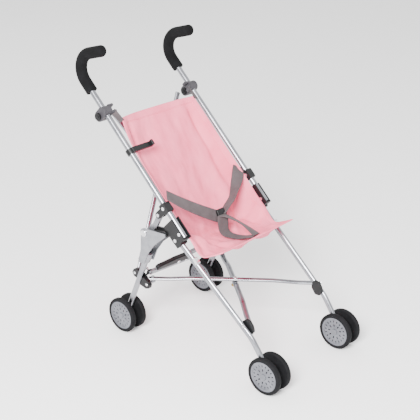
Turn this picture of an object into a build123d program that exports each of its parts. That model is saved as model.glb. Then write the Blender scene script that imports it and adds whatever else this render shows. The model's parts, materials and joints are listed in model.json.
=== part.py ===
"""Folding doll stroller: two side frames joined by two X braces, a rear lock bar and a sling seat.

Millimetres, +Z up. The front faces -Y, and the stroller's own right side is -X.
Each side frame is drawn in the plane through its tubes and placed by its side, -1 right or +1 left.
"""
from build123d import *
import os
from math import atan2, cos, degrees, radians, sin, tan

os.makedirs("parts", exist_ok=True)

# Frame
side_x = 114.0             # centre plane of each side frame
front_axle_x = side_x - 8.5 # the front legs lean in towards the wheels
rear_axle_y = 136.5
tube_r = 5.5
tube_wall = 1.0
tube_end = (-20.8, 239.5)  # lower end of the upper tube, as (y, z)
tube_angle = 44.55         # of the upper tube above the ground
crook_corner = 399.3       # along the tube, from its lower end to the corner of the crook
crook_turn = 120.0
crook_bend_r = 32.0
crook_run = 86.0           # from the corner of the crook to the end of the tube
leg_half_depth = 5.8       # front leg's oval in the side view
leg_half_width = 4.6       # and across
bar_half_depth = 3.4       # oval bars of both braces
bar_half_width = 5.2

# Wheels and grips
wheel_r = 34.5
hub_r = 28.0
wheel_width = 9.5
wheel_gap = 17.4           # between the two wheels of a pair
axle_r = 2.5
boss_r = 7.5               # round boss at the foot of each leg
grip_r = 10.75
grip_start = 320.0         # along the tube, from its lower end to the grip
grip_cap = 10.0            # foam beyond the end of the tube

# Fits
plate = 2.2                # thickness of the folding side plates
run_gap = 0.3              # between faces that pass each other
pin_gap = 0.05             # radial, between a pin and its turning hole
rivet_r = 2.2
rivet_head_r = 3.3
head_height = 1.2
bolt_r = 3.2
bolt_head_r = 7.0
bolt_head = 2.6
stud_r = 1.8

# Places in the side view. Pairs named _at are (y, z); the others run along and across the
# upper tube from the knee pivot, across being positive towards the front.
knee_offset = 9.0          # knee pivot, up the tube from its lower end
link_top = (52.8, -20.7)
clamp_knob = (265.0, -12.2)
leg_top = (28.0, -19.9)
leg_exit = (-18.0, -16.6)
plate_front = (17.8, -30.0)
head_bolt_at = (70.0, 226.0)
rear_foot_at = (110.0, 128.0)
base_foot_at = (80.0, 113.0)
front_foot_at = (-156.0, 110.0)
front_bend_at = (-171.0, 89.1)
front_bend_r = 70.0
leg_bend_r = 150.0
rear_leg_top_at = (71.5, 184.3)
lock_foot_at = (86.9, 134.2)
clip_at = (-46.0, 205.0)
foot_inset = 16.0          # studs of both braces, in from the side frame's plane
far_inset = 21.0           # far ends of the bars
bar_offset = 7.0           # of each bar from the plane through its studs
base_arch = {"right": 3.0, "left": 9.0}
bar_tail = 7.0             # bar beyond its stud
lock_inset = 14.5
lock_drop = 9.0            # the middle of the lock bar sits this far below its ends
lock_depth = 6.0
lock_height = 9.0
lock_tail = 8.0

sides = {"right": -1, "left": 1}
other = {"right": "left", "left": "right"}
along = (cos(radians(tube_angle)), sin(radians(tube_angle)))
across = (-along[1], along[0])
knee_at = tuple(tube_end[i] + knee_offset * along[i] for i in (0, 1))


def on_tube(offset, origin=knee_at):
    """(y, z) of a place given along and across the upper tube."""
    return tuple(origin[i] + offset[0] * along[i] + offset[1] * across[i] for i in (0, 1))


def side_plane(side, inset=0.0):
    """A plane in the side view whose x is +Y and y is up; its normal is +X."""
    return Plane(origin=(side * (side_x - inset), 0, 0), x_dir=(0, 1, 0), z_dir=(1, 0, 0))


def tube_plane(side, offset=0.0):
    """As side_plane, with its origin at the knee pivot and x up along the upper tube."""
    origin = (side * side_x + offset, *knee_at)
    return Plane(origin=origin, x_dir=(0, *along), z_dir=(1, 0, 0))


def section_plane(start, end):
    """A plane at start that faces end, with its x level."""
    run = Vector(*end) - Vector(*start)
    return Plane(origin=start, x_dir=Vector(0, 0, 1).cross(run), z_dir=run)


def strap(points, width):
    """Round-ended straight runs from point to point, in the current sketch."""
    for (x0, y0), (x1, y1) in zip(points, points[1:]):
        turn = degrees(atan2(y1 - y0, x1 - x0))
        with Locations(((x0 + x1) / 2, (y0 + y1) / 2)):
            SlotCenterToCenter(Vector(x1 - x0, y1 - y0).length, width, rotation=turn)


def disc(plane, radius, start, end, mode=Mode.ADD):
    """A round bar along the plane's normal, through its origin."""
    with BuildSketch(plane.offset(start)) as section:
        Circle(radius)
    extrude(section.sketch, amount=end - start, mode=mode)


def hole_at(side, place, radius, reach=30.0):
    """A round hole along X through the part being built."""
    plane = side_plane(side).shift_origin((side * side_x, *place))
    disc(plane, radius, -reach, reach, Mode.SUBTRACT)


def finish(piece, label):
    piece.part.label = label
    export_step(piece.part, f"parts/{label}.step")


link_top_at = on_tube(link_top)
knob_at = on_tube(clamp_knob)
leg_top_at = on_tube(leg_top)
leg_exit_at = on_tube(leg_exit)
plate_front_at = on_tube(plate_front)
bracket_rivet = (link_top[0] + 2.0, 0.0)
bracket_rivet_at = on_tube(bracket_rivet)
channel_rivet = (-3.4, -17.6)
channel_rivet_at = on_tube(channel_rivet)

# The grips reach as far back as the front tyres reach forward, so the origin is in the middle.
corner_at = on_tube((crook_corner, 0), tube_end)
bend_start = on_tube((crook_corner - crook_bend_r * tan(radians(crook_turn / 2)), 0), tube_end)
grip_back_y = bend_start[0] + (across[0] + 1) * crook_bend_r + grip_r
front_axle_y = wheel_r - grip_back_y
end_angle = radians(tube_angle + crook_turn)


def crook_end_at(run):
    return (corner_at[0] + run * cos(end_angle), corner_at[1] + run * sin(end_angle))


# Half widths of the layers at the knee, from the middle out
link_half = 2.8
channel_gap = tube_r + run_gap
channel_half = channel_gap + plate
knee_plate_in = channel_half + run_gap
knee_plate_out = knee_plate_in + plate
head_in = knee_plate_out + run_gap
head_out = head_in + plate
bracket_half = tube_r + 2.0
clamp_half = tube_r + 3.5


def add_upper_tube(side, radius, start, run, mode=Mode.ADD):
    """The upper tube's round run from start along it to run past the crook's corner."""
    x = side * side_x
    first = (x, *on_tube((start, 0), tube_end))
    corner = (x, *corner_at)
    with BuildLine() as path:
        FilletPolyline(first, corner, (x, *crook_end_at(run)), radius=crook_bend_r)
    with BuildSketch(section_plane(first, corner)) as section:
        Circle(radius)
    sweep(section.sketch, path=path.line, mode=mode)


def add_front_leg(side, shrink=0.0, mode=Mode.ADD):
    """The front leg's oval run, from its top in the knee channel down to the axle."""
    x = side * side_x
    points = [(x, *leg_top_at), (x, *leg_exit_at)]
    lean = (front_bend_at[0] - leg_exit_at[0]) / (front_axle_y - leg_exit_at[0])
    bend_x = side * (side_x + (front_axle_x - side_x) * lean)
    points.append((bend_x, *front_bend_at))
    points.append((side * front_axle_x, front_axle_y, wheel_r))
    with BuildLine() as path:
        FilletPolyline(*points, radius=[leg_bend_r, front_bend_r])
    with BuildSketch(section_plane(points[0], points[1])) as section:
        Ellipse(leg_half_width - shrink, leg_half_depth - shrink)
    sweep(section.sketch, path=path.line, mode=mode)


def add_rear_leg(side, radius, start=0.0, end=None, mode=Mode.ADD):
    """The rear leg's round run, start and end being measured down from its top."""
    x = side * side_x
    top = Vector(x, *rear_leg_top_at)
    down = Vector(x, rear_axle_y, wheel_r) - top
    plane = Plane(origin=top, x_dir=(1, 0, 0), z_dir=down).offset(start)
    with BuildSketch(plane) as section:
        Circle(radius)
    extrude(section.sketch, amount=(down.length if end is None else end) - start, mode=mode)


for name, side in sides.items():
    with BuildPart() as upper_tube:
        add_upper_tube(side, tube_r, 0, crook_run)
        add_upper_tube(side, tube_r - tube_wall, 0, crook_run, Mode.SUBTRACT)
        hole_at(side, knee_at, rivet_r + pin_gap)
        hole_at(side, bracket_rivet_at, rivet_r)
    finish(upper_tube, f"{name}_upper_tube")

    with BuildPart() as grip:
        add_upper_tube(side, grip_r, grip_start, crook_run + grip_cap)
        ends = grip.faces().filter_by(GeomType.PLANE)
        fillet(ends.sort_by(Axis.Z)[-1].edges(), grip_r * 0.7)
        fillet(grip.faces().filter_by(GeomType.PLANE).sort_by(Axis.Z)[0].edges(), tube_wall)
        add_upper_tube(side, tube_r, 0, crook_run, Mode.SUBTRACT)
    finish(grip, f"{name}_grip")

    # Clamp that carries the rear brace's knob and the arms for the seat's top corner
    with BuildPart() as clamp:
        with BuildSketch(tube_plane(side, -clamp_half)):
            strap([clamp_knob, (clamp_knob[0], 1.0)], 20.0)
        extrude(amount=2 * clamp_half)
        for step in (-7.0, 7.0):
            start = -side * (clamp_half - 2.0)
            with BuildSketch(tube_plane(side, start)):
                with Locations((clamp_knob[0] + step, 5.0)):
                    RectangleRounded(5.0, 9.0, 1.5)
            extrude(amount=-side * 11.0)
        add_upper_tube(side, tube_r, 0, crook_run, Mode.SUBTRACT)
        hole_at(side, knob_at, rivet_r)
    finish(clamp, f"{name}_clamp")

    with BuildPart() as knob:
        middle = side_plane(side).shift_origin((side * side_x, *knob_at))
        for sign in (-1, 1):
            disc(middle, 7.0, sign * clamp_half, sign * (clamp_half + 3.2))
            disc(middle, rivet_head_r, sign * (clamp_half + 3.2), sign * (clamp_half + 4.0))
        disc(middle, rivet_r, -clamp_half, clamp_half)
    finish(knob, f"{name}_knob")

    # Bracket on the upper tube that holds the top of the folding link
    with BuildPart() as link_bracket:
        with BuildSketch(tube_plane(side, -bracket_half)):
            strap([link_top, (link_top[0], 0.0)], 13.0)
            with Locations((link_top[0] + 1.0, 0.0)):
                RectangleRounded(20.0, 2 * bracket_half, 3.0)
        extrude(amount=2 * bracket_half)
        with BuildSketch(tube_plane(side, -link_half - run_gap)):
            with Locations((link_top[0], link_top[1])):
                Rectangle(40.0, 2 * (-link_top[1] - bracket_half - 1.0))
        extrude(amount=2 * (link_half + run_gap), mode=Mode.SUBTRACT)
        add_upper_tube(side, tube_r, 0, crook_run, Mode.SUBTRACT)
        hole_at(side, link_top_at, rivet_r)
        hole_at(side, bracket_rivet_at, rivet_r)
    finish(link_bracket, f"{name}_link_bracket")

    with BuildPart() as upper_rivets:
        for place in (link_top_at, bracket_rivet_at):
            middle = side_plane(side).shift_origin((side * side_x, *place))
            disc(middle, rivet_r, -bracket_half, bracket_half)
            for sign in (-1, 1):
                disc(middle, rivet_head_r, sign * bracket_half, sign * (bracket_half + head_height))
    finish(upper_rivets, f"{name}_upper_rivets")

    # Grey link from the bracket down to the head bolt, slightly bent
    with BuildPart() as fold_link:
        middle_at = tuple(
            (link_top_at[i] + head_bolt_at[i]) / 2 + (-2.5, -3.0)[i] for i in (0, 1)
        )
        with BuildSketch(side_plane(side).offset(-link_half)):
            strap([link_top_at, middle_at, head_bolt_at], 10.0)
        extrude(amount=2 * link_half)
        hole_at(side, link_top_at, rivet_r + pin_gap)
        hole_at(side, head_bolt_at, bolt_r + pin_gap)
    finish(fold_link, f"{name}_fold_link")

    # Black plates between the head bolt and the knee channel's lug
    with BuildPart() as knee_plates:
        for start in (-knee_plate_out, knee_plate_in):
            with BuildSketch(side_plane(side).offset(start)):
                strap([plate_front_at, head_bolt_at], 11.0)
            extrude(amount=plate)
        hole_at(side, head_bolt_at, bolt_r + pin_gap)
    finish(knee_plates, f"{name}_knee_plates")

    # Channel on the front leg: the upper tube lies in its trough when the stroller is open
    with BuildPart() as knee_channel:
        with BuildSketch(tube_plane(side, -channel_half)):
            with BuildLine():
                Polyline(
                    (-13.5, 3.6), (30.0, 3.6), (30.0, -25.0), (3.0, -25.0),
                    (-16.5, -24.0), (-16.5, -10.0), (-13.5, -8.0), close=True,
                )
            make_face()
            strap([plate_front, (plate_front[0], -20.0)], 12.0)
        extrude(amount=2 * channel_half)
        inner_wall = -side * channel_half if side > 0 else channel_gap
        with BuildSketch(tube_plane(side, inner_wall)):
            with Locations((8.25, 4.0)):
                Rectangle(43.5, 6.0)
        extrude(amount=plate)
        with BuildSketch(tube_plane(side, -channel_gap)):
            with Locations((15.5, 2.1)):
                Rectangle(31.0, 2 * (tube_r + run_gap / 3) + 4.0)
            Circle(knee_offset + 2.2)
        extrude(amount=2 * channel_gap, mode=Mode.SUBTRACT)
        add_front_leg(side, mode=Mode.SUBTRACT)
        hole_at(side, knee_at, rivet_r)
        hole_at(side, channel_rivet_at, rivet_r)
    finish(knee_channel, f"{name}_knee_channel")

    with BuildPart() as knee_rivets:
        for place in (knee_at, channel_rivet_at):
            middle = side_plane(side).shift_origin((side * side_x, *place))
            disc(middle, rivet_r, -channel_half, channel_half)
            for sign in (-1, 1):
                disc(middle, rivet_head_r, sign * channel_half, sign * (channel_half + head_height))
    finish(knee_rivets, f"{name}_knee_rivets")

    with BuildPart() as front_leg:
        add_front_leg(side)
        add_front_leg(side, tube_wall, Mode.SUBTRACT)
        foot = Plane(origin=(side * front_axle_x, front_axle_y, wheel_r), z_dir=(1, 0, 0))
        boss_half = wheel_gap / 2 - run_gap
        disc(foot, boss_r, -boss_half, boss_half)
        disc(foot, axle_r + pin_gap, -boss_half, boss_half, Mode.SUBTRACT)
        hole_at(side, channel_rivet_at, rivet_r)
    finish(front_leg, f"{name}_front_leg")

    with BuildPart() as rear_leg:
        add_rear_leg(side, tube_r)
        add_rear_leg(side, tube_r - tube_wall, mode=Mode.SUBTRACT)
        foot = Plane(origin=(side * side_x, rear_axle_y, wheel_r), z_dir=(1, 0, 0))
        disc(foot, boss_r, -boss_half, boss_half)
        disc(foot, axle_r + pin_gap, -boss_half, boss_half, Mode.SUBTRACT)
    finish(rear_leg, f"{name}_rear_leg")

    # Head of the rear leg: two triangular cheeks that a clasp joins around the tube
    with BuildPart() as leg_head:
        bolt_y, bolt_z = head_bolt_at
        for start in (-head_out, head_in):
            with BuildSketch(side_plane(side).offset(start)):
                with BuildLine():
                    Polyline(
                        (bolt_y - 2, bolt_z + 9), (plate_front_at[0] - 3, plate_front_at[1] + 2),
                        (plate_front_at[0] - 3, plate_front_at[1] - 4), (46.0, 208.0),
                        (62.0, 186.0), (72.0, 163.0), (88.0, 163.0), (80.0, 190.0),
                        (bolt_y + 8, bolt_z), close=True,
                    )
                make_face()
                with Locations(head_bolt_at):
                    Circle(9.2)
            extrude(amount=plate)
        add_rear_leg(side, tube_r + 3.0, 2.0, 22.0)
        with BuildSketch(side_plane(side).offset(-head_out)):
            with Locations(Location((79.0, 173.0), 23.4)):
                Rectangle(12.0, 14.0)
        extrude(amount=2 * head_out)
        add_rear_leg(side, tube_r, mode=Mode.SUBTRACT)
        hole_at(side, head_bolt_at, bolt_r)
    finish(leg_head, f"{name}_leg_head")

    with BuildPart() as head_bolt:
        middle = side_plane(side).shift_origin((side * side_x, *head_bolt_at))
        disc(middle, bolt_r, -head_out, head_out)
        for sign in (-1, 1):
            disc(middle, bolt_head_r, sign * head_out, sign * (head_out + bolt_head))
        fillet(head_bolt.edges().filter_by(GeomType.CIRCLE).group_by(Axis.X)[0], 1.5)
        fillet(head_bolt.edges().filter_by(GeomType.CIRCLE).group_by(Axis.X)[-1], 1.5)
    finish(head_bolt, f"{name}_head_bolt")

# Wheels: a pair on each leg turns with its axle in the leg's boss
outer_face = wheel_gap / 2 + wheel_width
tyre_back = 1.5
hub_sink = 0.9             # hub face behind the tyre's outward face
hub_web = 2.4
slots = {12.5: (9, 5.0, 2.6), 20.5: (18, 4.4, 2.2)}  # ring radius: count, length, width
for name, side in sides.items():
    for end, axle_x, axle_y in (("front", front_axle_x, front_axle_y),
                                ("rear", side_x, rear_axle_y)):
        foot = Plane(origin=(side * axle_x, axle_y, wheel_r), x_dir=(0, 1, 0), z_dir=(1, 0, 0))
        with BuildPart() as tyres:
            for sign in (-1, 1):
                disc(foot, wheel_r, sign * wheel_gap / 2, sign * outer_face)
            rims = tyres.edges().filter_by(GeomType.CIRCLE)
            fillet(rims.filter_by(lambda edge: edge.radius > hub_r), 2.8)
            for sign in (-1, 1):
                inner = sign * (wheel_gap / 2 + tyre_back)
                disc(foot, hub_r, inner, sign * (outer_face + 1), Mode.SUBTRACT)
                disc(foot, axle_r, 0, sign * outer_face, Mode.SUBTRACT)
        finish(tyres, f"{name}_{end}_tyres")

        with BuildPart() as hubs:
            for sign in (-1, 1):
                back = wheel_gap / 2 + tyre_back
                face = outer_face - hub_sink
                disc(foot, hub_r, sign * back, sign * face)
                disc(foot, hub_r - 2.4, sign * back, sign * (face - hub_web), Mode.SUBTRACT)
                disc(foot, hub_r - 4.0, sign * (face - 0.8), sign * face, Mode.SUBTRACT)
                disc(foot, 5.5, sign * back, sign * (outer_face + 0.6))
                for ring_r, (count, length, width) in slots.items():
                    with BuildSketch(foot.offset(sign * back)) as cuts:
                        with PolarLocations(ring_r, count):
                            SlotOverall(length, width)
                    extrude(cuts.sketch, amount=sign * wheel_width, mode=Mode.SUBTRACT)
                disc(foot, axle_r, 0, sign * face, Mode.SUBTRACT)
            caps = hubs.edges().filter_by(GeomType.CIRCLE)
            for caps_end in (caps.group_by(Axis.X)[0], caps.group_by(Axis.X)[-1]):
                fillet(caps_end, 0.9)
        finish(hubs, f"{name}_{end}_hubs")

        with BuildPart() as axle:
            disc(foot, axle_r, hub_sink - outer_face, outer_face - hub_sink)
        finish(axle, f"{name}_{end}_axle")

# Black foot on each rear leg: it carries a stud for each brace and a lug for the lock bar
foot_half = 7.5
front_foot_half = 7.0
lock_stud_r = 2.0
lug_plate = 3.0
leg_down = Vector(0, rear_axle_y - rear_leg_top_at[0], wheel_r - rear_leg_top_at[1]).normalized()
lock_normal = Vector(1, 0, 0).cross(-leg_down)


def lock_plane(offset=0.0):
    """The plane the lock bar folds in: x is +X, y runs up the rear legs."""
    origin = Vector(0, *lock_foot_at) + lock_normal * offset
    return Plane(origin=origin, x_dir=(1, 0, 0), z_dir=lock_normal)


for name, side in sides.items():
    first = lock_depth + 2 * run_gap if side < 0 else -lock_depth - 2 * run_gap
    with BuildPart() as rear_foot:
        with BuildSketch(side_plane(side).offset(-foot_half)):
            strap([base_foot_at, rear_foot_at], 13.0)
            strap([((base_foot_at[0] + rear_foot_at[0]) / 2, rear_foot_at[1] - 4), lock_foot_at], 16.0)
        extrude(amount=2 * foot_half)
        for place in (base_foot_at, rear_foot_at):
            middle = side_plane(side).shift_origin((side * side_x, *place))
            disc(middle, stud_r, -side * foot_half, -side * (foot_half + 5.0))
            disc(middle, rivet_head_r, side * foot_half, side * (foot_half + head_height))
        lug_start = -lug_plate - run_gap / 2 if side < 0 else run_gap / 2
        with BuildSketch(lock_plane(lug_start)):
            near, far = side * (side_x - foot_half), side * (side_x - lock_inset)
            with BuildLine():
                Polyline((near, -6.0), (far, -6.0), (far, 6.0), (near, 6.0), close=True)
            make_face()
            with Locations((far, 0)):
                Circle(6.0)
        extrude(amount=lug_plate)
        stud = lock_plane().shift_origin(lock_plane().from_local_coords((far, 0, 0)))
        disc(stud, lock_stud_r, side * lug_plate, first)
        disc(stud, 3.6, first, first + (1.2 if first > 0 else -1.2))
        add_rear_leg(side, tube_r, mode=Mode.SUBTRACT)
    finish(rear_foot, f"{name}_rear_foot")

    # Black foot on each front leg for the far end of a base bar
    leg_share = (front_foot_at[0] - leg_exit_at[0]) / (front_axle_y - leg_exit_at[0])
    front_foot_x = side * (side_x + (front_axle_x - side_x) * leg_share)
    with BuildPart() as front_foot:
        middle = Plane(origin=(front_foot_x, *front_foot_at), x_dir=(0, 1, 0), z_dir=(1, 0, 0))
        with BuildSketch(middle.offset(-front_foot_half)):
            strap([(-6.0, -12.0), (2.0, -1.0)], 17.0)
        extrude(amount=2 * front_foot_half)
        disc(middle, 4.2, -side * front_foot_half, -side * (front_foot_half + 3.0))
        disc(middle, rivet_head_r, side * front_foot_half, side * (front_foot_half + head_height))
        add_front_leg(side, mode=Mode.SUBTRACT)
    finish(front_foot, f"{name}_front_foot")

    with BuildPart() as seat_clip:
        clip_x = side * (side_x - 1.0)
        clip = Plane(origin=(clip_x, *clip_at), x_dir=(0, 1, 0), z_dir=(1, 0, 0))
        with BuildSketch(clip.offset(-4.0)):
            strap([(-3.0, -6.0), (1.0, -1.0)], 7.0)
        extrude(amount=8.0)
        add_front_leg(side, mode=Mode.SUBTRACT)
    finish(seat_clip, f"{name}_seat_clip")

# Braces: each bar turns on a yoke at one rear foot and ends at the other side's frame
yoke_r = 3.3
bar_wall = 1.0
bar_cut = {"rear": 0.0, "base": 4.0}
spacer_r = 4.5
braces = {
    "rear": (rear_foot_at, knob_at, {"right": 0.0, "left": 0.0}),
    "base": (base_foot_at, front_foot_at, base_arch),
}
for brace, (start_at, far_at, arch) in braces.items():
    run_y, run_z = far_at[0] - start_at[0], far_at[1] - start_at[1]
    normal = Vector(0, run_z, -run_y).normalized()
    for name, side in sides.items():
        lift = -side
        stud = Vector(side * (side_x - foot_inset), *start_at)
        far = Vector(-side * (side_x - far_inset), *far_at)
        heading = (far - stud).normalized()
        with BuildPart() as yoke:
            barrel = Plane(origin=(side * side_x, *start_at), x_dir=(0, 1, 0), z_dir=(side, 0, 0))
            disc(barrel, yoke_r, -foot_inset - 4.5, -foot_half - run_gap)
            disc(barrel, stud_r + pin_gap, -foot_half - 5.0 - run_gap, -foot_half, Mode.SUBTRACT)
            post = Plane(origin=stud, x_dir=(1, 0, 0), z_dir=normal * lift)
            top = bar_offset + bar_half_depth + run_gap
            disc(post, stud_r, 0, top)
            disc(post, rivet_head_r, top, top + head_height)
        finish(yoke, f"{name}_{brace}_yoke")

        with BuildPart() as bar:
            level = normal * (lift * bar_offset)
            rise = normal * (arch[name])
            length = (far - stud).length
            first = stud + level - heading * bar_tail
            last = far + level - heading * bar_cut[brace]
            points = [first, last]
            if arch[name]:
                stops = (0.1, 0.26, 0.74, 0.9)
                points[1:1] = [
                    stud + level + heading * length * stop + rise * (0.2 < stop < 0.8)
                    for stop in stops
                ]
            with BuildLine() as path:
                if arch[name]:
                    FilletPolyline(*points, radius=90.0)
                else:
                    Line(*points)
            section_at = Plane(origin=first, x_dir=normal.cross(heading), z_dir=heading)
            for shrink, mode in ((0.0, Mode.ADD), (bar_wall, Mode.SUBTRACT)):
                with BuildSketch(section_at) as section:
                    Ellipse(bar_half_width - shrink, bar_half_depth - shrink)
                sweep(section.sketch, path=path.line, mode=mode)
            disc(post, stud_r + pin_gap, 0, 2 * bar_offset, Mode.SUBTRACT)
        if side < 0:
            share = (0 - stud.X) / (far.X - stud.X)
            crossing = stud + (far - stud) * share
            upper = bar_offset + arch[name]
            lower = bar_offset - arch["left"]
            pivot = Plane(origin=crossing, x_dir=(1, 0, 0), z_dir=normal)
            with BuildPart() as pin:
                disc(pivot, spacer_r, run_gap - lower + bar_half_depth, upper - bar_half_depth)
            bar.part = Compound([bar.part.solid(), pin.part.solid()])
        finish(bar, f"{name}_{brace}_bar")

# Rear lock bar: two arms side by side that meet in the middle, and the foot lever on one
lock_mid = (0.0, -lock_drop)
for name, side in sides.items():
    start = run_gap if side < 0 else -run_gap - lock_depth
    foot = Vector(side * (side_x - lock_inset), 0)
    heading = (Vector(*lock_mid) - foot).normalized()
    tail = Vector(*lock_mid) + heading * lock_tail
    with BuildPart() as lock_arm:
        with BuildSketch(lock_plane(start)):
            strap([(foot.X, foot.Y), (tail.X, tail.Y)], lock_height)
        extrude(amount=lock_depth)
        stud = lock_plane().shift_origin(lock_plane().from_local_coords((foot.X, 0, 0)))
        disc(stud, lock_stud_r + pin_gap, -2 * lock_depth, 2 * lock_depth, Mode.SUBTRACT)
    finish(lock_arm, f"{name}_lock_arm")

lever_wall = 2.2
lever_height = 11.5
lever_from, lever_to = 26.0, 106.0
arm_start = Vector(-(side_x - lock_inset), 0)
arm_heading = (Vector(*lock_mid) - arm_start).normalized()
lever_plane = Plane(
    origin=lock_plane().from_local_coords((arm_start.X, arm_start.Y, 0)),
    x_dir=lock_plane().from_local_coords((arm_heading.X, arm_heading.Y, 0))
    - lock_plane().origin,
    z_dir=lock_normal,
)
lever_mid = (lever_from + lever_to) / 2
lever_long = lever_to - lever_from
arm_face = run_gap + lock_depth
with BuildPart() as lock_lever:
    with BuildSketch(lever_plane.offset(run_gap)):
        with Locations((lever_mid, lever_height / 2 + 0.5)):
            RectangleRounded(lever_long, lever_height - 1.0, 3.0)
    extrude(amount=lock_depth + lever_wall)
    with BuildSketch(lever_plane.offset(run_gap)):
        with Locations((lever_mid, (lever_height - lever_wall) / 2 - 2.0)):
            Rectangle(lever_long - 2 * lever_wall, lever_height - lever_wall + 4.0)
    extrude(amount=lock_depth, mode=Mode.SUBTRACT)
    with BuildSketch(lever_plane.offset(run_gap)):
        with Locations((lever_mid, 0)):
            Rectangle(2 * lever_long, lock_height)
    extrude(amount=lock_depth, mode=Mode.SUBTRACT)
finish(lock_lever, "lock_lever")

# Carry hook that swings on the right upper tube
hook_place = 171.0         # up the tube from the knee pivot
hook_arm = 46.0
hook_width = 10.0
with BuildPart() as carry_hook:
    ring_at = Plane(
        origin=(-side_x, *on_tube((hook_place, 0))), x_dir=(1, 0, 0), z_dir=(0, *along)
    )
    with BuildSketch(ring_at):
        Circle(tube_r + 2.6)
        with Locations((hook_arm / 2, -tube_r - 1.2)):
            RectangleRounded(hook_arm, 5.0, 1.5)
        with Locations((hook_arm, -tube_r - 4.5)):
            RectangleRounded(5.0, 12.0, 2.0)
        Circle(tube_r + pin_gap, mode=Mode.SUBTRACT)
    extrude(amount=hook_width)
finish(carry_hook, "carry_hook")

# Plain stand-ins for the sling seat and its harness
seat_half = 94.0
seat_thick = 2.4
seat_line = [(150.0, 420.0), (28.0, 233.0), (-92.0, 229.0)]
with BuildPart() as seat_sling:
    with BuildSketch(Plane(origin=(-seat_half, 0, 0), x_dir=(0, 1, 0), z_dir=(1, 0, 0))):
        strap(seat_line, seat_thick)
    extrude(amount=2 * seat_half)
finish(seat_sling, "seat_sling")

strap_width = 24.0
strap_thick = 1.6
buckle = Vector(0, -15.0, 268.0)
with BuildPart() as harness:
    for start in ((-90.0, 26.0, 303.0), (90.0, 26.0, 303.0)):
        middle = Plane(origin=start, x_dir=(0, *along), z_dir=buckle - Vector(*start))
        with BuildSketch(middle) as section:
            Rectangle(strap_width, strap_thick)
        extrude(section.sketch, amount=(buckle - Vector(*start)).length)
    crotch = Vector(0, -58.0, 238.0)
    with BuildSketch(Plane(origin=crotch, x_dir=(1, 0, 0), z_dir=buckle - crotch)) as section:
        Rectangle(strap_width, strap_thick)
    extrude(section.sketch, amount=(buckle - crotch).length)
finish(harness, "harness")
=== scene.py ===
import json
from math import cos, exp, pi, radians, sin

import bpy
import bmesh
import numpy as np
from mathutils import Matrix, Vector, noise


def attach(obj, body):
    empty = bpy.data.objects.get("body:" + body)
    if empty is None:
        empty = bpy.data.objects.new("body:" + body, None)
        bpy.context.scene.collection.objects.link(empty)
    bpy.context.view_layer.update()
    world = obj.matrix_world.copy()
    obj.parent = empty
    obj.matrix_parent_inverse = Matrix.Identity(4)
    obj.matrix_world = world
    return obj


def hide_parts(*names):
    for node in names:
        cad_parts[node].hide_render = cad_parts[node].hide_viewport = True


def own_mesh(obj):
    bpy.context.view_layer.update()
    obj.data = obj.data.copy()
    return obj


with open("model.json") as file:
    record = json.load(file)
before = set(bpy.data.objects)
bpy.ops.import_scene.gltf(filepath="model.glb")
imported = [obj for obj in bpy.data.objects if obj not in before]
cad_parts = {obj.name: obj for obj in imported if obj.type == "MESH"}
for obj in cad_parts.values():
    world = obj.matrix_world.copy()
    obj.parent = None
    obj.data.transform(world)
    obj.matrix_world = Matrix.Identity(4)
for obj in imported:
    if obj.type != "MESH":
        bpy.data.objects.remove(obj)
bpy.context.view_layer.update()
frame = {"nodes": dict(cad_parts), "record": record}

mm = 0.001  # sizes below are millimetres, the scene is in metres
nodes = frame["nodes"]
slotOf = {entry["node"]: entry["material_slot"] for entry in frame["record"]["subparts"]}


def toLinear(hexCode):
    parts = [int(hexCode[i:i + 2], 16) / 255 for i in (1, 3, 5)]
    parts = [c / 12.92 if c <= 0.04045 else ((c + 0.055) / 1.055) ** 2.4 for c in parts]
    return (*parts, 1.0)


def addNode(tree, kind, values=None, **settings):
    # values: input name or index to a number, a colour or another node's output
    node = tree.nodes.new(kind)
    for key, value in settings.items():
        setattr(node, key, value)
    for key, value in (values or {}).items():
        if isinstance(value, bpy.types.NodeSocket):
            tree.links.new(value, node.inputs[key])
        else:
            node.inputs[key].default_value = value
    return node


def startMaterial(name, hexCode, roughness, metallic=0.0, **sockets):
    material = bpy.data.materials.new(name)
    material.use_nodes = True
    tree = material.node_tree
    shader = tree.nodes["Principled BSDF"]
    shader.inputs["Base Color"].default_value = toLinear(hexCode)
    shader.inputs["Roughness"].default_value = roughness
    shader.inputs["Metallic"].default_value = metallic
    for key, value in sockets.items():
        shader.inputs[key.replace("_", " ")].default_value = value
    return material, tree, shader


def placeInMm(tree):
    # object coordinates in millimetres, so that a pattern's scale is one over its real size
    coords = addNode(tree, "ShaderNodeTexCoord")
    return addNode(tree, "ShaderNodeMapping", {
        "Vector": coords.outputs["Object"], "Scale": (1 / mm, 1 / mm, 1 / mm)})


def tint(tree, shader, factor, dark, light, low, high):
    # colour drifts between two tones where factor rises from low to high
    ramp = addNode(tree, "ShaderNodeValToRGB", {"Fac": factor})
    ramp.color_ramp.elements[0].position = low
    ramp.color_ramp.elements[0].color = toLinear(dark)
    ramp.color_ramp.elements[1].position = high
    ramp.color_ramp.elements[1].color = toLinear(light)
    tree.links.new(ramp.outputs["Color"], shader.inputs["Base Color"])


def bumpFrom(tree, shader, height, depthMm, strength):
    bump = addNode(tree, "ShaderNodeBump", {
        "Height": height, "Distance": depthMm * mm, "Strength": strength})
    tree.links.new(bump.outputs["Normal"], shader.inputs["Normal"])


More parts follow.
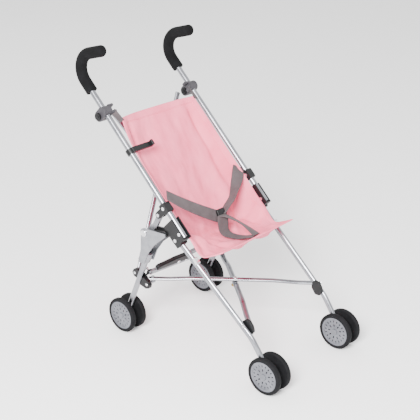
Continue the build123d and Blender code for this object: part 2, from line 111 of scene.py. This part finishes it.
def makeMetal(name, spec):
    # drawn or plated metal: fine grain, slightly uneven gloss, faint handling marks
    material, tree, shader = startMaterial(name, spec["light"], spec["roughness"], spec["metallic"])
    place = placeInMm(tree)
    grain = addNode(tree, "ShaderNodeTexNoise", {
        "Vector": place.outputs["Vector"], "Scale": 1 / spec["grainMm"], "Detail": 4.0})
    marks = addNode(tree, "ShaderNodeTexNoise", {
        "Vector": place.outputs["Vector"], "Scale": 1 / spec["markMm"], "Detail": 6.0})
    tint(tree, shader, marks.outputs["Fac"], spec["dark"], spec["light"], 0.3, 0.6)
    spread = addNode(tree, "ShaderNodeMapRange", {
        "Value": marks.outputs["Fac"], "From Min": 0.3, "From Max": 0.7,
        "To Min": spec["roughness"] - 0.06, "To Max": spec["roughness"] + 0.08})
    tree.links.new(spread.outputs["Result"], shader.inputs["Roughness"])
    bumpFrom(tree, shader, grain.outputs["Fac"], spec["bumpMm"], 0.35)
    return material


def makeMoulded(name, spec):
    # injection moulded plastic: spark-eroded skin, slow drift of tone and gloss
    material, tree, shader = startMaterial(name, spec["light"], spec["roughness"], IOR=1.5)
    shader.inputs["Specular IOR Level"].default_value = 0.28
    place = placeInMm(tree)
    skin = addNode(tree, "ShaderNodeTexNoise", {
        "Vector": place.outputs["Vector"], "Scale": 1 / spec["grainMm"], "Detail": 3.0})
    cloud = addNode(tree, "ShaderNodeTexNoise", {
        "Vector": place.outputs["Vector"], "Scale": 1 / spec["markMm"], "Detail": 5.0})
    tint(tree, shader, cloud.outputs["Fac"], spec["dark"], spec["light"], 0.35, 0.65)
    spread = addNode(tree, "ShaderNodeMapRange", {
        "Value": cloud.outputs["Fac"], "From Min": 0.3, "From Max": 0.7,
        "To Min": spec["roughness"] - 0.05, "To Max": spec["roughness"] + 0.07})
    tree.links.new(spread.outputs["Result"], shader.inputs["Roughness"])
    bumpFrom(tree, shader, skin.outputs["Fac"], spec["bumpMm"], 0.4)
    return material


def makeFoam(name, spec):
    # closed-cell foam: open pores on a matt skin
    material, tree, shader = startMaterial(name, spec["light"], spec["roughness"], IOR=1.45)
    shader.inputs["Specular IOR Level"].default_value = 0.15
    place = placeInMm(tree)
    pores = addNode(tree, "ShaderNodeTexVoronoi", {
        "Vector": place.outputs["Vector"], "Scale": 1 / spec["grainMm"]})
    cloud = addNode(tree, "ShaderNodeTexNoise", {
        "Vector": place.outputs["Vector"], "Scale": 1 / spec["markMm"], "Detail": 4.0})
    tint(tree, shader, cloud.outputs["Fac"], spec["dark"], spec["light"], 0.35, 0.7)
    bumpFrom(tree, shader, pores.outputs["Distance"], spec["bumpMm"], 0.6)
    return material


def makeWoven(name, spec):
    # cloth or webbing: warp and weft from the piece's own millimetre UVs
    material, tree, shader = startMaterial(
        name, spec["light"], spec["roughness"], IOR=1.5,
        Sheen_Weight=spec["sheen"], Sheen_Roughness=0.5)
    shader.inputs["Sheen Tint"].default_value = toLinear(spec["sheenTint"])
    shader.inputs["Specular IOR Level"].default_value = 0.25
    flat = addNode(tree, "ShaderNodeUVMap", uv_map="clothMm")
    turns = {}
    for axis in ("X", "Y"):
        wave = addNode(tree, "ShaderNodeTexWave", {
            "Vector": flat.outputs["UV"], "Scale": pi / 10 / spec["thread" + axis],
            "Distortion": spec["slub"], "Detail": 1.0, "Detail Scale": 0.4},
            bands_direction=axis, wave_profile="SIN")
        turns[axis] = wave.outputs["Fac"]
    weave = addNode(tree, "ShaderNodeMath", {0: turns["X"], 1: turns["Y"]}, operation="MULTIPLY")
    cloud = addNode(tree, "ShaderNodeTexNoise", {
        "Vector": flat.outputs["UV"], "Scale": 1 / spec["markMm"], "Detail": 5.0})
    mixed = addNode(tree, "ShaderNodeMath", {
        0: weave.outputs["Value"], 1: spec["weaveTone"], 2: cloud.outputs["Fac"]},
        operation="MULTIPLY_ADD")
    tint(tree, shader, mixed.outputs["Value"], spec["dark"], spec["light"], 0.3, 0.75)
    bumpFrom(tree, shader, weave.outputs["Value"], spec["bumpMm"], 0.5)
    return material


finishes = {
    # anodised aluminium tube, drawn: satin silver, soft highlights along the tube
    "satinTube": (makeMetal, dict(light="#97989D", dark="#84858B", roughness=0.28, metallic=1.0,
                                  grainMm=0.7, markMm=30, bumpMm=0.02)),
    "satinBrace": (makeMetal, dict(light="#8F9095", dark="#7A7B81", roughness=0.3, metallic=1.0,
                                   grainMm=0.7, markMm=24, bumpMm=0.02)),
    # powder-coated sheet steel: grey with a little metal flake; the blacked one is darker and satin
    "coatedSteel": (makeMetal, dict(light="#929398", dark="#7E7F84", roughness=0.36, metallic=0.8,
                                    grainMm=0.6, markMm=18, bumpMm=0.04)),
    "blackedSteel": (makeMetal, dict(light="#131315", dark="#0C0C0D", roughness=0.4, metallic=0.4,
                                     grainMm=0.6, markMm=14, bumpMm=0.03)),
    # nickel-plated rivets and bolts: brightest metal on the frame
    "nickelRivet": (makeMetal, dict(light="#DEDEE0", dark="#C6C6CA", roughness=0.2, metallic=1.0,
                                    grainMm=0.4, markMm=6, bumpMm=0.01)),
    "brassWasher": (makeMetal, dict(light="#C9A24A", dark="#A58237", roughness=0.3, metallic=1.0,
                                    grainMm=0.4, markMm=5, bumpMm=0.01)),
    # injection moulded nylon and ABS: smooth skin that gives a soft, broad highlight
    "blackNylon": (makeMoulded, dict(light="#121214", dark="#0B0B0C", roughness=0.42,
                                     grainMm=0.5, markMm=20, bumpMm=0.05)),
    "greyNylon": (makeMoulded, dict(light="#3E3C40", dark="#302E32", roughness=0.46,
                                    grainMm=0.5, markMm=15, bumpMm=0.05)),
    "hubPlastic": (makeMoulded, dict(light="#66676D", dark="#56575D", roughness=0.4,
                                     grainMm=0.5, markMm=18, bumpMm=0.04)),
    # EVA foam tyre and nitrile foam grip: matt black, pores only just visible
    "foamTyre": (makeFoam, dict(light="#151517", dark="#0E0E10", roughness=0.78,
                                grainMm=0.9, markMm=12, bumpMm=0.12)),
    "foamGrip": (makeFoam, dict(light="#0E0E10", dark="#080809", roughness=0.88,
                                grainMm=1.1, markMm=16, bumpMm=0.2)),
    # woven polyester: matt, with threads drawn at 1.1 mm, coarser than the real 0.4 mm, to show
    "pinkCloth": (makeWoven, dict(light="#EC7890", dark="#DA6079", roughness=0.85, sheen=0.06,
                                  sheenTint="#FFE6EA", threadX=1.1, threadY=1.1, slub=1.2,
                                  weaveTone=0.25, markMm=40, bumpMm=0.12)),
    # woven webbing: tighter and darker, with ribs across the tape
    "greyWebbing": (makeWoven, dict(light="#50484A", dark="#3B3435", roughness=0.8, sheen=0.15,
                                    sheenTint="#B8AFB0", threadX=2.0, threadY=1.0, slub=0.4,
                                    weaveTone=0.3, markMm=25, bumpMm=0.25)),
    "pinkThread": (makeMoulded, dict(light="#DA7086", dark="#C65A72", roughness=0.7,
                                     grainMm=0.3, markMm=8, bumpMm=0.02)),
}
materials = {name: make(name, spec) for name, (make, spec) in finishes.items()}
slotFinish = {
    "tube": "satinTube", "brace_tube": "satinBrace", "lock_steel": "coatedSteel",
    "grey_steel": "coatedSteel", "black_plate": "blackedSteel", "rivet": "nickelRivet",
    "foam_grip": "foamGrip", "black_plastic": "blackNylon", "grey_plastic": "greyNylon",
    "hub_plastic": "hubPlastic", "tyre": "foamTyre",
    "seat_fabric": "pinkCloth", "webbing": "greyWebbing",
}
for nodeName, obj in nodes.items():
    finish = materials[slotFinish[slotOf[nodeName]]]
    if not obj.material_slots:
        obj.data.materials.append(finish)
    for materialSlot in obj.material_slots:
        materialSlot.material = finish
print("stage: finishes on the frame")


def meshPiece(name, vertices, faces, finish, uvs=None):
    mesh = bpy.data.meshes.new(name)
    mesh.from_pydata([tuple(v) for v in vertices], [], faces)
    if uvs is not None:
        layer = mesh.uv_layers.new(name="clothMm")
        for loop in mesh.loops:
            layer.data[loop.index].uv = uvs[loop.vertex_index]
    mesh.materials.append(materials[finish])
    obj = bpy.data.objects.new(name, mesh)
    bpy.context.collection.objects.link(obj)
    for polygon in mesh.polygons:
        polygon.use_smooth = True
    mesh.update()
    return obj


def throughPoints(points, t):
    # smooth curve through evenly parametrised points, t from 0 to 1
    places = np.array(points, float)
    count = len(places) - 1
    spot = min(max(t, 0.0), 1.0) * count
    i = min(int(spot), count - 1)
    f = spot - i
    p1, p2 = places[i], places[i + 1]
    p0 = places[i - 1] if i else 2 * p1 - p2
    p3 = places[i + 2] if i + 2 <= count else 2 * p2 - p1
    return 0.5 * (2 * p1 + (p2 - p0) * f + (2 * p0 - 5 * p1 + 4 * p2 - p3) * f ** 2
                  + (3 * p1 - p0 - 3 * p2 + p3) * f ** 3)


seat = dict(
    # (y, z) down the middle, and (x, y, z) down one edge, top hem to front hem
    middle=[(166, 418), (134, 368), (102, 321), (70, 276), (42, 238), (16, 212), (-18, 201),
            (-52, 205), (-80, 214), (-95, 226)],
    edge=[(96, 151, 421), (103, 126, 388), (105, 94, 353), (105, 62, 321), (105, 30, 290),
          (105, 0, 258), (105, -26, 232), (105, -49, 209), (104, -74, 216), (100, -97, 228)],
    rows=84, columns=60, thickness=1.1, flatness=(3.2, 2.3), cutMm=(232, 372),
    hem=11, hemThickness=2.6, keep=0.36, anchor=(-105 * mm, 0, 0),
)


def between(value, low, high):
    # 0 below low, 1 above high, smooth in between
    t = min(max((value - low) / (high - low), 0.0), 1.0)
    return t * t * (3 - 2 * t)


def wrinkle(u, v):
    # height in millimetres: folds that run from the clips into the bottom of the sling, a crease
    # where back meets seat, slack near the top edge, and a valley along each side panel
    low = exp(-((v - 0.68) / 0.12) ** 2)
    fan = sin(10 * abs(u) + 15 * v + 1.3 * sin(3 * u)) * abs(u) ** 1.2 * low * 7.0
    crumple = noise.fractal(Vector((u * 3.2, v * 7.0, 0.7)), 0.9, 2.1, 3)
    crumple *= 3.4 + 14.0 * low * abs(u)
    crease = -7.0 * exp(-((v - 0.575 - 0.03 * u * u) / 0.025) ** 2) * (1 - abs(u) ** 4)
    slack = 3.0 * sin(4.2 * u + 8 * v) * exp(-((v - 0.12) / 0.2) ** 2) * (1 - u * u)
    wing = 7.5 * exp(-((abs(u) - 0.8 + 0.45 * between(v, 0.4, 0.75)) / 0.07) ** 2)
    return fan + crumple + crease + slack - wing


def seatPoint(u, v, lift=0.0):
    # u from -1 to 1 across, v from 0 at the top hem to 1 at the front hem
    ex, ey, ez = throughPoints(seat["edge"], v)
    my, mz = throughPoints(seat["middle"], v)
    flatBack, flatPan = seat["flatness"]
    hang = 1 - abs(u) ** (flatBack + (flatPan - flatBack) * between(v, 0.3, 0.65))
    step = 0.004
    dy, dz = throughPoints(seat["middle"], min(v + step, 1)) - throughPoints(
        seat["middle"], max(v - step, 0))
    run = (dy * dy + dz * dz) ** 0.5
    out = np.array((0, -dz, dy)) / run  # faces the sitter's side as dy is mostly negative
    place = np.array((ex * u, ey + (my - ey) * hang, ez + (mz - ez) * hang))
    edgeFade = min(1, (1 - abs(u)) * 8) * min(1, v * 12) * min(1, (1 - v) * 9)
    return Vector(place - out * (wrinkle(u, v) * edgeFade + lift)) * mm


def seatPatch(name, u0, u1, v0, v1, columns, rows, thickness):
    # the part of the sling between two widths u and two lengths v, as a shell of cloth
    points, uvs = [], []
    for j in range(rows + 1):
        for i in range(columns + 1):
            u = u0 + (u1 - u0) * i / columns
            v = v0 + (v1 - v0) * j / rows
            points.append(seatPoint(u, v))
            uvs.append((u * seat["cutMm"][0] / 2, v * seat["cutMm"][1]))
    wide = columns + 1
    faces = [(j * wide + i, j * wide + i + 1, (j + 1) * wide + i + 1, (j + 1) * wide + i)
             for j in range(rows) for i in range(columns)]
    obj = meshPiece(name, points, faces, "pinkCloth", uvs)
    shell = obj.modifiers.new("thickness", "SOLIDIFY")
    shell.thickness = thickness * mm
    shell.offset = 0
    smoothing = obj.modifiers.new("smooth", "SUBSURF")
    smoothing.levels = smoothing.render_levels = 1
    bakeModifiers(obj)
    return obj


def bakeModifiers(obj):
    bpy.context.view_layer.update()
    shape = obj.evaluated_get(bpy.context.evaluated_depsgraph_get())
    obj.data = bpy.data.meshes.new_from_object(shape)
    obj.modifiers.clear()


sling = seatPatch("slingSeat", -1, 1, 0, 1, seat["columns"], seat["rows"], seat["thickness"])
hemU = 2 * seat["hem"] / seat["cutMm"][0]
hemV = seat["hem"] / seat["cutMm"][1]
hemSteps = 4
hems = [
    seatPatch(name, *span, columns, rows, seat["hemThickness"])
    for name, span, columns, rows in (
        ("topHem", (-1, 1, 0, hemV), seat["columns"], hemSteps),
        ("frontHem", (-1, 1, 1 - hemV, 1), seat["columns"], hemSteps),
        ("rightHem", (-1, -1 + hemU, 0, 1), hemSteps, seat["rows"]),
        ("leftHem", (1 - hemU, 1, 0, 1), hemSteps, seat["rows"]))
]
print("stage: sling seat")

stitch = dict(spacing=3.2, length=2.3, radius=0.32, taper=0.45, lift=1.35, sides=5, inset=0.82)


def stitchRow(name, start, end):
    # short thread runs between two (u, v) places on the sling, on both of its faces
    (u0, v0), (u1, v1) = start, end
    samples, sides = 20, stitch["sides"]
    trail = [seatPoint(u0 + (u1 - u0) * k / samples, v0 + (v1 - v0) * k / samples)
             for k in range(samples + 1)]
    length = sum((a - b).length for a, b in zip(trail, trail[1:])) / mm
    count = int(length / stitch["spacing"])
    points, faces = [], []
    for k in range(count):
        ends = []
        for share in (0, stitch["length"] / stitch["spacing"]):
            t = (k + share) / count
            ends.append((u0 + (u1 - u0) * t, v0 + (v1 - v0) * t))
        for face in (-1, 1):
            a, b = (seatPoint(*place, lift=face * stitch["lift"]) for place in ends)
            along = (b - a).normalized()
            side = along.orthogonal().normalized()
            other = along.cross(side)
            base = len(points)
            rings = [(a, stitch["taper"]), (a.lerp(b, 0.25), 1), (a.lerp(b, 0.75), 1),
                     (b, stitch["taper"])]
            for centre, width in rings:
                for m in range(sides):
                    turn = 2 * pi * m / sides
                    points.append(centre + (side * cos(turn) + other * sin(turn))
                                  * stitch["radius"] * mm * width)
            for r in range(len(rings) - 1):
                low = base + sides * r
                for m in range(sides):
                    n = (m + 1) % sides
                    faces.append((low + m, low + n, low + sides + n, low + sides + m))
            last = base + sides * (len(rings) - 1)
            faces.append(tuple(base + m for m in range(sides - 1, -1, -1)))
            faces.append(tuple(last + m for m in range(sides)))
    return meshPiece(name, points, faces, "pinkThread")


inU, inV = 1 - hemU * stitch["inset"], hemV * stitch["inset"]
threads = [
    stitchRow("topStitching", (-0.97, inV), (0.97, inV)),
    stitchRow("frontStitching", (-0.97, 1 - inV), (0.97, 1 - inV)),
    stitchRow("rightStitching", (-inU, 0.01), (-inU, 0.99)),
    stitchRow("leftStitching", (inU, 0.01), (inU, 0.99)),
]

webbing = dict(waistWidth=23, crotchWidth=19, seatWidth=21, thickness=1.5, stepsPerSpan=14)


def ribbon(name, width, route):
    # route: (point, direction across the tape) in millimetres, smoothed between the entries
    steps = webbing["stepsPerSpan"] * (len(route) - 1)
    spots = [np.array(point, float) for point, _ in route]
    acrosses = [np.array(direction, float) / np.linalg.norm(direction) for _, direction in route]
    profile = [(-1.0, 0.0), (-0.94, 0.5), (-0.8, 0.46), (-0.4, 0.5), (0.0, 0.5), (0.4, 0.5),
               (0.8, 0.46), (0.94, 0.5), (1.0, 0.0)]
    loop = profile + [(a, -b) for a, b in profile[-2:0:-1]]
    points, uvs, faces = [], [], []
    length = 0.0
    last = None
    for k in range(steps + 1):
        t = k / steps
        centre = throughPoints(spots, t)
        ahead = throughPoints(spots, min(t + 0.01, 1)) - throughPoints(spots, max(t - 0.01, 0))
        ahead = ahead / np.linalg.norm(ahead)
        side = throughPoints(acrosses, t)
        side = side - ahead * side.dot(ahead)
        side = side / np.linalg.norm(side)
        out = np.cross(ahead, side)
        if last is not None:
            length += np.linalg.norm(centre - last)
        last = centre
        for a, b in loop:
            place = centre + side * a * width / 2 + out * b * webbing["thickness"]
            points.append(Vector(place) * mm)
            uvs.append((a * width / 2, length))
    around = len(loop)
    for k in range(steps):
        for m in range(around):
            n = (m + 1) % around
            faces.append((k * around + m, k * around + n,
                          (k + 1) * around + n, (k + 1) * around + m))
    faces.append(tuple(range(around - 1, -1, -1)))
    faces.append(tuple(steps * around + m for m in range(around)))
    return meshPiece(name, points, faces, "greyWebbing", uvs)


tubeWay = (0, 0.713, 0.701)
straps = [
    ribbon("rightWaistStrap", webbing["waistWidth"], [
        ((-105, 31, 304), tubeWay), ((-78, 20, 284), (0.1, 0.6, 0.8)),
        ((-42, 8, 261), (0.15, 0.45, 0.88)), ((-6, -1, 241), (0.3, 0.3, 0.9)),
        ((14, -6, 233), (0.35, 0.25, 0.9))]),
    ribbon("leftWaistStrap", webbing["waistWidth"], [
        ((105, 42, 298), tubeWay), ((84, 28, 280), (0.35, 0.75, 0.4)),
        ((54, 12, 261), (0.6, 0.65, 0.12)), ((28, 4, 250), (0.66, 0.62, 0.05)),
        ((6, 0, 241), (0.7, 0.6, 0.1))]),
    ribbon("crotchStrapTop", webbing["crotchWidth"], [
        ((0, -4, 243), (1, 0.1, 0)), ((5, -22, 241), (1, 0, -0.3)),
        ((9, -52, 234), (1, 0, -0.5)), ((10, -83, 222), (1, 0, -0.1))]),
    ribbon("crotchStrapBack", webbing["seatWidth"], [
        ((-1, -11, 243), (0.8, -0.5, 0)), ((-3, -13, 232), (0.85, -0.5, 0)),
        ((-4, -17, 217), (0.9, -0.35, 0)), ((-1, -27, 209), (1, -0.1, 0)),
        ((5, -50, 209), (1, 0, 0)), ((10, -80, 219), (1, 0, 0))]),
]


def pieceFrom(shape, name, finish):
    # turns a finished bmesh into a smooth-shaded piece
    mesh = bpy.data.meshes.new(name)
    shape.to_mesh(mesh)
    shape.free()
    mesh.materials.append(materials[finish])
    for polygon in mesh.polygons:
        polygon.use_smooth = True
    obj = bpy.data.objects.new(name, mesh)
    bpy.context.collection.objects.link(obj)
    return obj


def roundedBlock(name, finish, size, centre, turn, radius):
    # a bevelled block with its size, centre and radius in millimetres
    shape = bmesh.new()
    bmesh.ops.create_cube(shape, size=1)
    bmesh.ops.scale(shape, vec=Vector(size) * mm, verts=shape.verts)
    bmesh.ops.bevel(shape, geom=shape.edges, offset=radius * mm, segments=3, profile=0.5,
                    affect="EDGES")
    matrix = Matrix.Translation(Vector(centre) * mm) @ turn
    bmesh.ops.transform(shape, matrix=matrix, verts=shape.verts)
    return pieceFrom(shape, name, finish)


buckle = dict(size=(20, 7, 21), centre=(3, -3, 243), lean=-28, radius=2.2)
slider = roundedBlock("harnessSlider", "blackNylon", buckle["size"], buckle["centre"],
                      Matrix.Rotation(radians(buckle["lean"]), 4, "X"), buckle["radius"])
print("stage: harness")


def rivetPiece(name, finish, centre, axis, radius, height):
    # a domed rivet head standing on centre, its axis pointing out
    profile = [(0.0, height), (0.35, height * 0.97), (0.65, height * 0.84), (0.88, height * 0.55),
               (1.0, height * 0.25), (1.0, -0.2)]
    turns = 28
    points, faces = [Vector((0, 0, profile[0][1]))], []
    for share, level in profile[1:]:
        for m in range(turns):
            angle = 2 * pi * m / turns
            points.append(Vector((share * radius * cos(angle), share * radius * sin(angle), level)))
    for m in range(turns):
        faces.append((0, 1 + m, 1 + (m + 1) % turns))
    for r in range(len(profile) - 2):
        for m in range(turns):
            n = (m + 1) % turns
            a, b = 1 + r * turns, 1 + (r + 1) * turns
            faces.append((a + m, b + m, b + n, a + n))
    faces.append(tuple(1 + (len(profile) - 2) * turns + m for m in range(turns - 1, -1, -1)))
    turn = Vector((0, 0, 1)).rotation_difference(Vector(axis)).to_matrix()
    points = [(Vector(centre) + turn @ p) * mm for p in points]
    return meshPiece(name, points, faces, finish)


def cutPiece(name, finish, bevel, parts):
    # parts: (outline, origin, x direction, y direction, from, to); an outline cut from a sheet and
    # given depth along x cross y, all in millimetres
    shape = bmesh.new()
    for outline, origin, xWay, yWay, start, end in parts:
        xWay, yWay = Vector(xWay).normalized(), Vector(yWay).normalized()
        out = xWay.cross(yWay)
        flat = [Vector(origin) + xWay * x + yWay * y for x, y in outline]
        near = [shape.verts.new((p + out * start) * mm) for p in flat]
        far = [shape.verts.new((p + out * end) * mm) for p in flat]
        count = len(flat)
        faces = [shape.faces.new(near), shape.faces.new(far)]
        for k in range(count):
            n = (k + 1) % count
            faces.append(shape.faces.new((near[k], near[n], far[n], far[k])))
    bmesh.ops.recalc_face_normals(shape, faces=shape.faces)
    bmesh.ops.bevel(shape, geom=shape.edges, offset=bevel * mm, segments=2, profile=0.6,
                    affect="EDGES", clamp_overlap=True)
    obj = pieceFrom(shape, name, finish)
    weighted = obj.modifiers.new("normals", "WEIGHTED_NORMAL")
    weighted.keep_sharp = True
    return obj


def roundOutline(radius, count=24):
    return [(radius * cos(2 * pi * k / count), radius * sin(2 * pi * k / count))
            for k in range(count)]


legUp = Vector((0, -0.398, 0.917))
lockOut = Vector((0, -0.917, -0.398))  # out of the lock bar, forward and down
yWay, zWay, xWay = (0, 1, 0), (0, 0, 1), (1, 0, 0)
bracket = dict(
    # outlines in the side view, y and z; insets are measured in from the side frame's plane
    sidePlane=114, bevel=0.8,
    frontEar=[(73, 113), (75, 106), (83, 103.5), (98.4, 107.5), (95.2, 115.5), (90.6, 125.5),
              (83, 123), (76, 119)],
    rearEar=[(106.4, 118.5), (114, 121), (118, 128), (114.5, 135), (106, 138), (100, 134.5),
             (102.8, 126.5)],
    web=[(78, 107), (98, 106), (113, 122), (112, 134), (99, 137), (86, 128), (77, 118)],
    earInset=(-1.0, 7.4), webInset=(5.8, 7.4),
    frontPlace=(-156, 110), frontPlane=107.9, frontInset=(4.9, 10.2),
    frontOutline=[(-15, -10), (-9, -19), (1, -19), (9, -8), (10, 3), (3, 9), (-6, 7), (-12, 0)],
)
lockPin = dict(
    # the lock bar's end pin: its place, and runs along the pin out of the right side's lug
    x=99.5, at=(86.9, 134.2), radius=2.0, capRadius=3.6, bevel=0.3,
    lug=(0.15, 3.15), stud=(-6.6, 3.15), cap=(-7.8, -6.6), lugInset=6.5, lugHalf=6.0,
)


def pinRun(span, side):
    # a run that is stated for the left side, turned round for the right one
    return tuple(-side * value for value in span)


for sideName, side in (("right", -1), ("left", 1)):
    plane, pinX = side * bracket["sidePlane"], side * lockPin["x"]
    block = []
    for key, inset in (("frontEar", "earInset"), ("rearEar", "earInset"), ("web", "webInset")):
        near, far = (plane - side * value for value in bracket[inset])
        block.append((bracket[key], (0, 0, 0), yWay, zWay, near, far))
    root, half = plane - side * lockPin["lugInset"], lockPin["lugHalf"]
    lugOutline = [(root, -half), (pinX, -half), (pinX - side * 5, -3.5), (pinX - side * 6, 0),
                  (pinX - side * 5, 3.5), (pinX, half), (root, half)]
    block.append((lugOutline, (0, *lockPin["at"]), xWay, legUp, *pinRun(lockPin["lug"], side)))
    rearBracket = cutPiece(sideName + "RearBracket", "blackNylon", bracket["bevel"], block)
    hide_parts(sideName + "_rear_foot")
    pinSpot = (pinX, *lockPin["at"])
    lockStud = cutPiece(sideName + "LockStud", "nickelRivet", lockPin["bevel"], [
        (roundOutline(lockPin["radius"]), pinSpot, xWay, legUp, *pinRun(lockPin["stud"], side)),
        (roundOutline(lockPin["capRadius"]), pinSpot, xWay, legUp, *pinRun(lockPin["cap"], side))])
    near, far = (side * (bracket["frontPlane"] - value) for value in bracket["frontInset"])
    frontBracket = cutPiece(sideName + "FrontBracket", "blackNylon", bracket["bevel"], [
        (bracket["frontOutline"], (0, *bracket["frontPlace"]), yWay, zWay, near, far)])
    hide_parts(sideName + "_front_foot")
    for obj, body, slotName in ((rearBracket, "leg", "black_plastic"), (lockStud, "leg", "rivet"),
                                (frontBracket, "front", "black_plastic")):
        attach(obj, f"{sideName}_{body}")

lever = dict(
    # outline along the right arm from its pivot, and above its centre line
    outline=[(12, 3.6), (12, 9), (15, 12.5), (40, 14.5), (62, 17), (100, 17), (107, 15), (109, 11),
             (109, 3.6)],
    skirt=(6.6, 8.8), top=(0.4, 8.8), wall=2.2, bevel=0.5,
    ribs=(30, 52, 74), rib=[(0, 5.2), (1.6, 5.2), (1.6, 13), (0, 12.6)], ribDepth=(0.6, 6.8),
    drop=-9,
)
armWay = (Vector((lockPin["x"], 0, 0)) + legUp * lever["drop"]).normalized()
leverUp = lockOut.cross(armWay)
frameOfLever = ((-lockPin["x"], *lockPin["at"]), armWay, leverUp)
upper = [(x, y) for x, y in lever["outline"] if y > 8]
crown = upper + [(x, y - lever["wall"]) for x, y in reversed(upper)]
footLever = cutPiece("footLever", "blackNylon", lever["bevel"], [
    (lever["outline"], *frameOfLever, *lever["skirt"]),
    (crown, *frameOfLever, *lever["top"]),
    *[([(start + x, y) for x, y in lever["rib"]], *frameOfLever, *lever["ribDepth"])
      for start in lever["ribs"]]])
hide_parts("lock_lever")
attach(footLever, "right_lock")

heads = dict(
    # name: (finish, centre in mm, axis, radius, height, body)
    crossingRivet=("nickelRivet", (0, -41.1, 124.9), (0, 0, 1), 4.4, 1.8, "right_base_bar"),
    crossingWasher=("brassWasher", (0, -41.1, 110.1), (0, 0, -1), 7.5, 2.4, "left_base_bar"),
    leverRivet=("nickelRivet", (-27, 79.4, 129.2), lockOut, 4.0, 1.5, "right_lock"),
    lockPinFront=("nickelRivet", (0, 84.7, 123.4), lockOut, 3.6, 1.2, "right_lock"),
    lockPinBack=("nickelRivet", (0, 96.3, 128.4), -lockOut, 3.6, 1.2, "left_lock"),
)
for sideName, side in (("right", -1), ("left", 1)):
    for label, centre, reach, body in (
            ("FootScrew", (-156, 110), 112.6, "front"), ("BraceScrew", (111, 128), 115.0, "leg"),
            ("BaseScrew", (80, 113), 115.0, "leg")):
        heads[sideName + label] = ("nickelRivet", (side * reach, *centre), (side, 0, 0), 3.0, 0.9,
                                   f"{sideName}_{body}")
for name, (finish, centre, axis, radius, height, body) in heads.items():
    head = rivetPiece(name, finish, centre, axis, radius, height)
    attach(head, body)

cornerTab = dict(width=11, start=(99, 147, 416), middle=(101, 157, 425), end=(103, 167, 433))
for sideName, side in (("right", -1), ("left", 1)):
    route = [((side * x, y, z), (0, 0.7, 0.7)) for x, y, z in
             (cornerTab["start"], cornerTab["middle"], cornerTab["end"])]
    straps.append(ribbon(sideName + "CornerTab", cornerTab["width"], route))

for obj in [sling, *hems, *threads, *straps, slider]:
    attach(obj, "right_upper")
    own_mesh(obj)
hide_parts("seat_sling")
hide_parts("harness")
print("stage: soft pieces ride")

stage = dict(floor="#FAFAFA", roughness=0.85, span=14.0, sky=1.6)
floorMaterial = startMaterial("paleFloor", stage["floor"], stage["roughness"])[0]
bpy.ops.mesh.primitive_plane_add(size=stage["span"], location=(0, 0, 0))
floor = bpy.context.object
floor.name = "floor"
floor.data.materials.append(floorMaterial)

world = bpy.data.worlds.new("studio")
bpy.context.scene.world = world
world.use_nodes = True
backdrop = world.node_tree.nodes["Background"]
backdrop.inputs["Color"].default_value = toLinear("#FFFFFF")
backdrop.inputs["Strength"].default_value = stage["sky"]

lights = {
    "key": dict(place=(-1.7, -0.9, 1.5), power=170, size=0.8),
    "fill": dict(place=(1.8, -1.2, 1.6), power=14, size=2.2),
    "rim": dict(place=(0.6, 2.2, 2.2), power=20, size=1.6),
}
aim = Vector((0, 0, 0.27))
for name, spec in lights.items():
    data = bpy.data.lights.new(name, "AREA")
    data.energy = spec["power"]
    data.size = spec["size"]
    lamp = bpy.data.objects.new(name, data)
    lamp.location = spec["place"]
    lamp.rotation_euler = (aim - Vector(spec["place"])).to_track_quat("-Z", "Y").to_euler()
    bpy.context.collection.objects.link(lamp)

view = dict(place=(-1278.9, -1129.5, 957.9), azimuth=-48.0, elevation=22.5, roll=-0.26,
            focal=995.2, frameWide=420, sensor=36.0)
azimuth, elevation = radians(view["azimuth"]), radians(view["elevation"])
forward = Vector((-sin(azimuth) * cos(elevation), cos(azimuth) * cos(elevation), -sin(elevation)))
right = forward.cross(Vector((0, 0, 1))).normalized()
upward = right.cross(forward)
level = Matrix((right, upward, -forward)).transposed()
axes = level @ Matrix.Rotation(radians(view["roll"]), 3, "Z")
cameraData = bpy.data.cameras.new("camera")
cameraData.sensor_width = view["sensor"]
cameraData.lens = view["focal"] / view["frameWide"] * view["sensor"]
camera = bpy.data.objects.new("camera", cameraData)
camera.matrix_world = Matrix.Translation(Vector(view["place"]) * mm) @ axes.to_4x4()
bpy.context.collection.objects.link(camera)
bpy.context.scene.camera = camera
print("stage: studio and camera")
